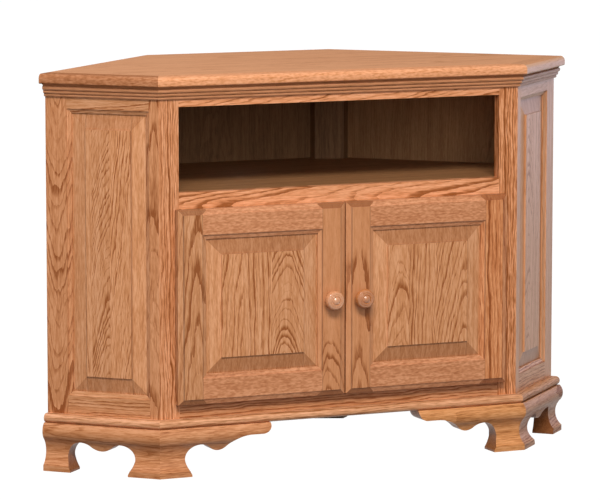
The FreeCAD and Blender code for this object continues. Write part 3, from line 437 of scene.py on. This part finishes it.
def oak(name, node, grain, face, staves, seed, year=5.0, wander=9.0, bold=1.0, fleck=0.28,
        dash=(20.0, 2.1), slopes=1.0, quirks=(), figured=None,
        tones=("#D59E77", "#BF8458", "#8A4C1E"), soak=1.0, specular=0.35, roughness=0.36,
        dead_top=False):
    """Varnished oak for one board, with its grain and its show face along the given directions.

    The tones run from late wood to pores. Slopes is the share of the year lines left on slanting
    faces, quirks are places aside where a fine line of shade is painted, and figured is the stretch
    along the board where its lines fade out. A dead top has no shine on the faces that look up.
    """
    material = blank_material(name)
    tree = material.node_tree
    board = lay_board(tree, node, seed, grain, face, staves)
    early = year_lines(tree, board, year, wander)

    normal = add(tree, "TexCoord", output="Normal")
    soaked = soaked_ends(tree, normal, grain, soak)
    level = add(tree, "VectorMath", {0: normal, 1: face}, output="Value", operation="DOT_PRODUCT")
    level = add(tree, "MapRange", {"Value": level, "To Min": slopes} | LEVEL_SPAN)
    limits = [level, add(tree, "Math", {0: 1.0, 1: soaked}, operation="SUBTRACT")]
    if figured:
        stretch = {"From Min": figured[0], "From Max": figured[1], "To Min": 1.0, "To Max": 0.0}
        limits.append(add(tree, "MapRange", {"Value": board.along} | stretch))
    for limit in limits:
        early = add(tree, "Math", {0: early, 1: limit}, operation="MULTIPLY")
    figure = pore_marks(tree, board, early, bold, fleck, dash)

    colour = add(tree, "ValToRGB", {"Fac": figure})
    stops = colour.node.color_ramp.elements
    stops[0].position, stops[0].color = TONE_PLACES[0], linear(tones[0])
    stops[1].position, stops[1].color = TONE_PLACES[2], linear(tones[2])
    stops.new(TONE_PLACES[1]).color = linear(tones[1])
    stain = add(tree, "VectorMath", {0: soaked, 1: STAIN, 2: (1, 1, 1)}, operation="MULTIPLY_ADD")
    colour = add(tree, "VectorMath", {0: colour, 1: stain}, operation="MULTIPLY")
    tone = board.tone
    # painted shade: a fine dark line along each quirk, shallower where end grain is already stained
    for quirk in quirks:
        darkest = add(tree, "Math", {0: soaked, 1: 1 - QUIRK_TONE, 2: QUIRK_TONE},
                      operation="MULTIPLY_ADD")
        away = add(tree, "Math", {0: board.aside, 1: quirk}, operation="SUBTRACT")
        away = add(tree, "Math", {0: away}, operation="ABSOLUTE")
        painted_shade = add(tree, "MapRange", {"Value": away, "To Min": darkest} | QUIRK_SPAN)
        tone = add(tree, "Math", {0: tone, 1: painted_shade}, operation="MULTIPLY")
    colour = add(tree, "VectorMath", {0: colour, "Scale": tone}, operation="SCALE")

    if dead_top:
        upward = add(tree, "VectorMath", {0: normal, 1: UP}, output="Value",
                     operation="DOT_PRODUCT")
        specular = add(tree, "MapRange",
                       {"Value": upward, "To Min": specular, "To Max": 0.0} | UPWARD_SPAN)
    gloss = add(tree, "MapRange", {"Value": figure, "To Min": roughness,
                                   "To Max": roughness + PORE_ROUGHNESS})
    relief = add(tree, "Bump", {"Height": figure, "Strength": PORE_RELIEF, "Distance": PORE_DEPTH},
                 invert=True)
    wood = add(tree, "BsdfPrincipled", {"Base Color": colour, "Roughness": gloss, "Normal": relief,
                                        "Specular IOR Level": specular})
    add(tree, "OutputMaterial", {"Surface": wood})
    return material


boards = {}
print("ready to finish", len(nodes), "pieces")

# %% [markdown]
# ## Choosing the cuts
#
# A joiner picks boards for their place: bold flames where they show, straight grain where a stile
# has to stay flat, flecked wood on the door rails, and matched staves in the panels. Grain always
# runs along a member: up the stiles and panels, along the rails, the mouldings and the brackets. A
# few cuts serve many boards, so they are named once. Every board still gets its own seed, so no two
# look alike, and a few name the seed whose figure suits their place.

# %% Name the cuts

def stave(aside, behind, taper=0.0, tone=1.0, begin=-CHART_REACH / 2):
    """One stave by where its heart lies, how its trunk tapers, its tone and where it begins."""
    return (begin, aside, behind, taper, tone)


PALE = ("#D69972", "#C2845C", "#9E5E36")

straight = dict(staves=[stave(150, 60, 0.01)], year=6.0)
flecked = dict(staves=[stave(90, 120, 0.03)], year=4.4, bold=0.25, fleck=0.45, dash=(9.0, 3.2),
               tones=PALE)
sheen = dict(bold=0.4, fleck=0.12, specular=0.5)
raised = dict(slopes=0.15)
print("straight, flecked, glossy and raised: four cuts serve most boards")

# %% [markdown]
# ## Top and mouldings
#
# The top's field is veneer in three matched leaves, mild in figure, with solid edging round it.
# Seen this flat, any varnish would mirror the white room and wash the top out, so the field and the
# edging have a dead finish with no mirror part. Only the right-hand edging keeps its sheen, and
# that on its rounded face alone. The left-hand edging and the right-hand mouldings have painted
# shade: they are given darker tones, as the sides turned from the light.

# %% Top and mouldings
PEACH = ("#EBAD85", "#E1A076", "#BC7A4A")
PLAIN = ("#D9A27C", "#D19973", "#B47E58")
# painted shade: darker tones for the left-hand edging
EDGE_IN_SHADE = ("#C28A66", "#B17752", "#85502E")
CROWN = ("#CA8E66", "#BE825A", "#9C663E")
BASE_CAP = ("#EAB08A", "#D2986F", "#985C2E")

top_leaves = dict(staves=[stave(-150, 40, 0.04, 1.03), stave(-15, 45, 0.05, 1.03, -85),
                          stave(120, 40, 0.04, 1.05, 50)],
                  year=6.0, wander=12.0, bold=0.5, fleck=0.2, tones=PLAIN, specular=0.0)
right_edge = dict(staves=[stave(90, 120, 0.03, 0.93)], tones=PLAIN, specular=0.66, dead_top=True)
boards["top_panel"] = (ALONG_FRONT, UP, top_leaves)
boards["top_edge_front"] = (ALONG_FRONT, FRONT, flecked | dict(tones=PEACH, specular=0.0))
boards["top_edge_left"] = (ALONG_LEFT, LEFT, flecked | dict(tones=EDGE_IN_SHADE, specular=0.0))
boards["top_edge_right"] = (ALONG_RIGHT, RIGHT, flecked | sheen | right_edge)
# painted shade: the right-hand crown and base cap are darkened by their shade share
for part, tones, shade, shine in (("crown", CROWN, 0.88, 0.42), ("base_cap", BASE_CAP, 0.8, 0.1)):
    moulding = straight | dict(tones=tones, fleck=0.4, bold=0.7)
    shaded = dict(staves=[stave(150, 60, 0.01, shade)], specular=shine)
    boards[part + "_front"] = (ALONG_FRONT, FRONT, moulding)
    boards[part + "_left"] = (ALONG_LEFT, LEFT, moulding)
    boards[part + "_right"] = (ALONG_RIGHT, RIGHT, moulding | shaded)
print(len(boards), "boards chosen")

# %% [markdown]
# ## Face frame and feet
#
# The middle rail, at eye level, is the liveliest board of the cabinet: sawn close to the heart, so
# that its lines run out in long flames. The stiles beside it are straight. The bracket feet are cut
# from mild boards with long, even grain, because short grain would break in their scrolls.

# %% Face frame and feet
HONEY = ("#D69A70", "#BE8054", "#8A4A1C")
RUDDY = ("#DFA27A", "#C07E52", "#844614")
GLOWING = ("#ECAB82", "#D48E60", "#925222")
GOLDEN = ("#DEA06C", "#CA8A54", "#8E521C")

top_rail = dict(staves=[stave(8, 12, 0.12)], year=5.5, tones=GLOWING)
middle_rail = dict(staves=[stave(-10, 7, -0.1)], year=9.0, wander=13.0, bold=1.1, tones=GLOWING)
# painted shade: the bottom rail's tone is a little lower, for the shade under the doors
bottom_rail = dict(staves=[stave(150, 60, 0.01, 0.94)], year=6.0, bold=1.1, tones=HONEY)
boards["top_face_rail"] = (ALONG_FRONT, FRONT, top_rail)
boards["middle_face_rail"] = (ALONG_FRONT, FRONT, middle_rail)
boards["bottom_face_rail"] = (ALONG_FRONT, FRONT, bottom_rail)
left_stile = dict(staves=[stave(150, 60, 0.01, 1.02)], year=5.0, bold=1.1, tones=RUDDY, seed=90.4)
right_stile = dict(staves=[stave(150, 60, 0.01, 1.12)], year=6.0, bold=1.2, fleck=0.45, tones=RUDDY)
boards["left_face_stile"] = (UP, FRONT, left_stile)
boards["right_face_stile"] = (UP, FRONT, right_stile)
# painted shade: the right side's bracket is darker (0.8) than the left one
for hand, face, along, shade, tones in (("left", LEFT, ALONG_LEFT, 0.97, HONEY),
                                        ("right", RIGHT, ALONG_RIGHT, 0.8, GOLDEN)):
    side_bracket = dict(staves=[stave(20, 40, 0.05, shade)], year=6.0, bold=0.7, tones=HONEY,
                        specular=0.2)
    front_bracket = dict(staves=[stave(30, 40, 0.04)], year=6.0, bold=0.6, fleck=0.4, tones=tones)
    boards[hand + "_side_bracket"] = (along, face, side_bracket)
    boards[hand + "_front_bracket"] = (ALONG_FRONT, FRONT, front_bracket)
print(len(boards), "boards chosen")

# %% [markdown]
# ## Canted sides
#
# The left side's panel is glued up from three staves: a plain one, half a flame that ends at the
# glue line, and a straight one. The right side is seen at a low angle, where the varnish mirrors
# the white room and hides the figure, so its boards are quieter and glossier.

# %% Canted sides
SIDE_FIELD_WIDTH = 93
FIELD_STEP = 1
SIDE_QUIRK = SIDE_FIELD_WIDTH / 2 + FIELD_STEP  # painted shade at the foot of the raised field's step

left_panel = dict(staves=[stave(-70, 24, 0.1, 1.08), stave(-6, 10, 0.24, 1.0, -4),
                          stave(150, 40, 0.01, 1.03, 34)],
                  year=4.6, bold=0.9, soak=0.7, quirks=(SIDE_QUIRK, -SIDE_QUIRK))
right_panel = dict(staves=[stave(-60, 20, 0.05), stave(30, 10, 0.22, 1.0, -4)], bold=0.6)
rear_stile = dict(staves=[stave(3, 8, -0.16, 0.98)], year=6.0, tones=HONEY)
front_stile = dict(staves=[stave(-4, 9, 0.08, 0.97)], year=6.0, tones=HONEY)
top_rail = dict(staves=[stave(8, 14, 0.06, 0.96)], year=4.6)
boards["left_side_panel"] = (UP, LEFT, raised | left_panel)
boards["right_side_panel"] = (UP, RIGHT, raised | sheen | right_panel)
boards["left_side_rear_stile"] = (UP, LEFT, rear_stile)
boards["left_side_front_stile"] = (UP, LEFT, front_stile)
boards["right_side_rear_stile"] = (UP, RIGHT, straight | sheen)
boards["right_side_front_stile"] = (UP, RIGHT, straight | sheen)
for hand, face, along, finish in (("left", LEFT, ALONG_LEFT, {}),
                                  ("right", RIGHT, ALONG_RIGHT, sheen)):
    boards[hand + "_side_top_rail"] = (along, face, top_rail | finish)
    boards[hand + "_side_bottom_rail"] = (along, face, straight)
print(len(boards), "boards chosen")

# %% [markdown]
# ## Doors and knobs
#
# Each door has four frame members 57 mm wide, with a 10 mm bevel outside and an 8 mm moulding
# inside, and a fine quirk beside both. Its raised panel is a match of three staves. The meeting
# stiles are plain at the top: the right one's figure starts above its knob, the left one's below.
# The knobs are turned from one piece each, hardly figured, and polished brighter than the boards.

# %% Doors and knobs
MEMBER_WIDTH = 57
# painted shade: fine dark lines along the quirks beside the bevel and the moulding, and at the foot
# of the panel field's step on its right
BEVEL_QUIRK = MEMBER_WIDTH / 2 - 10
MOULDING_QUIRK = MEMBER_WIDTH / 2 - 8
DOOR_FIELD_WIDTH = 170
DOOR_QUIRK = DOOR_FIELD_WIDTH / 2 + FIELD_STEP
STRIPED = ("#DB9A6C", "#C07848", "#84420F")
MELLOW = ("#CC9066", "#BE8054", "#8A4C20")
LEFT_KNOB = ("#D3976D", "#C78A60", "#AA7048")
RIGHT_KNOB = ("#BC7A48", "#B06E3E", "#945830")

left_panel = dict(staves=[stave(-47, 9, 0.34, 1.01), stave(110, 30, 0.02, 1.03, -20),
                          stave(-10, 50, 0.05, 1.06, 40)],
                  year=6.6, wander=13.0, quirks=(-DOOR_QUIRK,))
right_panel = dict(staves=[stave(-82, 10, 0.2, 1.03), stave(160, 60, 0.01, 1.03, -18),
                           stave(58, 18, 0.2, 1.05, 40)],
                   year=6.4, wander=13.0, bold=0.85, quirks=(-DOOR_QUIRK,))
boards["left_door_panel"] = (UP, FRONT, raised | left_panel)
boards["right_door_panel"] = (UP, FRONT, raised | right_panel)
left_hinge_stile = dict(staves=[stave(-10, 7, 0.09, 0.96)], year=8.0, bold=1.2, wander=12.0,
                        slopes=0.4, seed=271.2, quirks=(BEVEL_QUIRK, -MOULDING_QUIRK))
right_hinge_stile = dict(staves=[stave(150, 60, 0.01)], year=8.5, bold=1.15, wander=15.0,
                         slopes=0.6, tones=STRIPED, quirks=(-BEVEL_QUIRK, MOULDING_QUIRK))
left_meeting_stile = dict(staves=[stave(2, 9, 0.2)], year=6.5, bold=1.2, fleck=0.18, slopes=0.4,
                          figured=(-90, -50), tones=MELLOW, quirks=(-BEVEL_QUIRK, MOULDING_QUIRK))
right_meeting_stile = dict(staves=[stave(2, 10, 0.05)], year=9.0, bold=1.5, fleck=0.2, wander=14.0,
                           slopes=0.4, figured=(60, 100), tones=MELLOW,
                           quirks=(BEVEL_QUIRK, -MOULDING_QUIRK))
boards["left_door_hinge_stile"] = (UP, FRONT, left_hinge_stile)
boards["right_door_hinge_stile"] = (UP, FRONT, right_hinge_stile)
boards["left_door_meeting_stile"] = (UP, FRONT, left_meeting_stile)
boards["right_door_meeting_stile"] = (UP, FRONT, right_meeting_stile)
top_rail = flecked | dict(quirks=(-MOULDING_QUIRK,))
polished = dict(staves=[stave(160, 40)], bold=0.2, fleck=0.1, soak=0.0, specular=0.9,
                roughness=0.12)
for hand, tones in (("left", LEFT_KNOB), ("right", RIGHT_KNOB)):
    boards[hand + "_door_top_rail"] = (ALONG_FRONT, FRONT, top_rail)
    boards[hand + "_door_bottom_rail"] = (ALONG_FRONT, FRONT, flecked)
    boards[hand + "_knob"] = (FRONT, UP, polished | dict(tones=tones))
print(len(boards), "boards chosen")

# %% [markdown]
# ## Inside and back
#
# Boards that nobody sees with the doors closed are plainer and got one thin coat, so they hardly
# shine. They are painted darker, as shade: the walls greyer than the shelves, and the boards at the
# very back, deepest in, the darkest. With that the last boards are chosen, and each gets its
# finish.

# %% Inside, back, and the finish of every board
# painted shade: darker tones inside, greyer on the walls, darkest on the boards at the back
SHADED_INSIDE = ("#A27650", "#8A6240", "#67482C")
SHADED_WALL = ("#A47C57", "#8C6747", "#694C31")
SEED_STEP = 11.3

thin_coat = dict(year=4.0, bold=0.3, fleck=0.15, specular=0.1, roughness=0.5)
inside = thin_coat | dict(staves=[stave(60, 150, 0.02)], tones=SHADED_INSIDE)
wall = thin_coat | dict(staves=[stave(60, 150, 0.02, 1.1)], tones=SHADED_WALL)
back = thin_coat | dict(staves=[stave(60, 150, 0.02, 0.72)], tones=SHADED_WALL)
boards["rear_panel"] = (UP, FRONT, back)
boards["left_rear_side"] = (UP, ALONG_RIGHT, wall)
boards["right_rear_side"] = (UP, -ALONG_LEFT, wall)
boards["left_rear_post"] = (UP, FRONT, back)
boards["right_rear_post"] = (UP, FRONT, back)
boards["foot_blocks"] = (UP, FRONT, inside)
boards["board_cleats"] = (ALONG_FRONT, FRONT, inside)
for board in ("bay_deck", "cabinet_floor", "shelf"):
    boards[board] = (ALONG_FRONT, UP, inside)

for number, (node, (grain, face, cut)) in enumerate(boards.items(), 1):
    own = dict(seed=number * SEED_STEP) | cut
    finish = oak("varnished oak " + node, node, grain, face, **own)
    for slot in nodes[node].material_slots:
        slot.material = finish
print(len(boards), "boards have their oak")

# %% [markdown]
# ## Metal and rubber
#
# The hinges are pressed steel with a nickel plate, the shelf pegs are turned and zinc plated, and
# the bumpers are small discs of soft clear rubber. Plate has a little waviness from the press,
# which a slow noise in the roughness and a shallow bump give.

# %% Nickel, zinc and rubber
WAVE_RELIEF, WAVE_DEPTH = 0.2, 0.1 * MM
CLOUD_SIZE = 1.5 * MM


def plated_steel(name, colour, roughness, wave):
    """Plated steel whose roughness and surface wander a little over waves of some millimetres."""
    material = blank_material(name)
    tree = material.node_tree
    place = add(tree, "TexCoord", output="Object")
    waves = add(tree, "TexNoise", {"Vector": place, "Scale": 1 / (wave * MM), "Detail": 3.0})
    rough = add(tree, "MapRange", {"Value": waves, "To Min": roughness * 0.75,
                                   "To Max": roughness * 1.3})
    relief = add(tree, "Bump", {"Height": waves, "Strength": WAVE_RELIEF, "Distance": WAVE_DEPTH})
    metal = add(tree, "BsdfPrincipled", {"Base Color": linear(colour), "Metallic": 1.0,
                                         "Roughness": rough, "Normal": relief})
    add(tree, "OutputMaterial", {"Surface": metal})
    return material


# Nickel is a warm grey with a soft mirror, zinc is cooler and duller, clear rubber milky and dull.
nickel = plated_steel("nickel plated steel", "#C8C3BA", 0.28, 3.0)
zinc = plated_steel("zinc plated steel", "#BFC2C4", 0.34, 2.0)
rubber = blank_material("soft clear rubber")
tree = rubber.node_tree
place = add(tree, "TexCoord", output="Object")
cloud = add(tree, "TexNoise", {"Vector": place, "Scale": 1 / CLOUD_SIZE})
rough = add(tree, "MapRange", {"Value": cloud, "To Min": 0.35, "To Max": 0.55})
gum = add(tree, "BsdfPrincipled", {"Base Color": linear("#D9D6CC"), "Roughness": rough,
                                   "IOR": 1.45})
add(tree, "OutputMaterial", {"Surface": gum})

fittings = {"shelf_pegs": zinc, "door_bumpers": rubber}
for hand in ("left", "right"):
    for part in ("cups", "pins", "arms"):
        fittings[hand + "_hinge_" + part] = nickel
for node, material in fittings.items():
    for slot in nodes[node].material_slots:
        slot.material = material
print(len(fittings), "fittings have their metal or rubber")

# %% [markdown]
# ## Hinge screws
#
# Two screws hold each hinge cup to its door and two hold each arm's plate to the face frame. The
# head is a low round pan with a cross recess. It could be a plain disc with a picture of a cross,
# but seen with the door open the recess has to catch shade, so it is cut: a short disc, its rim
# rounded, its flat top divided by straight cuts, and the crossing strips pushed down.

# %% Make one screw head
HEAD_RADIUS = 3.0 * MM
HEAD_HEIGHT = 1.3 * MM
HEAD_SIDES = 24
RIM_ROUNDING = HEAD_HEIGHT * 0.7
RIM_STEPS = 3
SLOT_WIDTH = 0.9 * MM
SLOT_LENGTH = 3.2 * MM
SLOT_DEPTH = 0.8 * MM
NEAR_TOP = HEAD_HEIGHT * 0.99

head = bmesh.new()
bmesh.ops.create_cone(head, cap_ends=True, segments=HEAD_SIDES, radius1=HEAD_RADIUS,
                      radius2=HEAD_RADIUS, depth=HEAD_HEIGHT)
bmesh.ops.translate(head, verts=head.verts[:], vec=(0, 0, HEAD_HEIGHT / 2))
rim = [edge for edge in head.edges if all(point.co.z > HEAD_HEIGHT / 2 for point in edge.verts)]
bmesh.ops.bevel(head, geom=rim, offset=RIM_ROUNDING, affect="EDGES", segments=RIM_STEPS,
                profile=0.5, material=-1)
for reach in (SLOT_WIDTH, SLOT_LENGTH):
    for way in ((1, 0, 0), (-1, 0, 0), (0, 1, 0), (0, -1, 0)):
        top = [face for face in head.faces if face.calc_center_median().z > NEAR_TOP]
        edges = {edge for face in top for edge in face.edges}
        points = {point for face in top for point in face.verts}
        bmesh.ops.bisect_plane(head, geom=[*top, *edges, *points],
                               plane_co=Vector(way) * reach / 2, plane_no=way)
cross = []
for face in head.faces:
    middle = face.calc_center_median()
    near, far = sorted((abs(middle.x), abs(middle.y)))
    if middle.z > NEAR_TOP and near < SLOT_WIDTH / 2 and far < SLOT_LENGTH / 2:
        cross.append(face)
sunk = bmesh.ops.extrude_face_region(head, geom=cross)["geom"]
bottom_points = [part for part in sunk if isinstance(part, bmesh.types.BMVert)]
bmesh.ops.translate(head, verts=bottom_points, vec=(0, 0, -SLOT_DEPTH))
bmesh.ops.delete(head, geom=cross, context="FACES")  # the lid that the extrusion leaves behind
bmesh.ops.recalc_face_normals(head, faces=head.faces[:])
screw_mesh = bpy.data.meshes.new("screw head")
head.to_mesh(screw_mesh)
head.free()
print("one screw head has", len(screw_mesh.polygons), "faces")

# %% [markdown]
# ## Driving them
#
# A cup's screws stand above and below its hinge, in the ears that lie on the door's inner face, and
# ride with the door. An arm's screws go sideways into the edge of the face frame's stile and stay
# with the cabinet. Their places come from the boxes of the pieces that they hold.

# %% Drive the screws
CUP_HALF_HEIGHT = 27.0 * MM
CUP_SCREW_RISE = 22.3 * MM
ARM_SCREW_RISE = 14.0 * MM
ARM_SCREW_SETBACK = 7.5 * MM
ARM_PLATE = 2.0 * MM


def screws(name, body, places, facing):
    """A set of screws as one piece, each at its place with its head facing out."""
    turn = facing.to_track_quat("Z", "Y").to_matrix().to_4x4()
    row = bmesh.new()
    for place in places:
        known = set(row.verts)
        row.from_mesh(screw_mesh)
        fresh = [point for point in row.verts if point not in known]
        bmesh.ops.transform(row, matrix=Matrix.Translation(place) @ turn, verts=fresh)
    mesh = bpy.data.meshes.new(name)
    row.to_mesh(mesh)
    row.free()
    mesh.materials.append(zinc)
    piece = bpy.data.objects.new(name, mesh)
    bpy.context.collection.objects.link(piece)
    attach(piece, body)
    print(name, "holds", len(places), "screws")


for hand, outward in (("left", -1), ("right", 1)):
    low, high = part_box(hand + "_hinge_cups")
    hinge_heights = (low.z + CUP_HALF_HEIGHT, high.z - CUP_HALF_HEIGHT)
    ear = Vector(((low.x + high.x) / 2, high.y, 0))
    rises = (-CUP_SCREW_RISE, CUP_SCREW_RISE)
    places = [ear + UP * (height + rise) for height in hinge_heights for rise in rises]
    screws(hand + "_cup_screws", hand + "_door", places, -FRONT)
    arm_low, arm_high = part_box(hand + "_hinge_arms")
    stile_low, stile_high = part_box(hand + "_face_stile")
    inner_edge = stile_high.x if hand == "left" else stile_low.x
    plate = Vector((inner_edge - outward * ARM_PLATE, arm_high.y - ARM_SCREW_SETBACK, 0))
    rises = (-ARM_SCREW_RISE, ARM_SCREW_RISE)
    places = [plate + UP * (height + rise) for height in hinge_heights for rise in rises]
    screws(hand + "_arm_screws", "cabinet", places, Vector((-outward, 0, 0)))

# %% Measure the model against the CAD box
low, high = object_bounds()
print("the visual model stands out of the CAD box by at most",
      round(max(max(cad_low - low), max(high - cad_high)) / MM, 3), "mm")
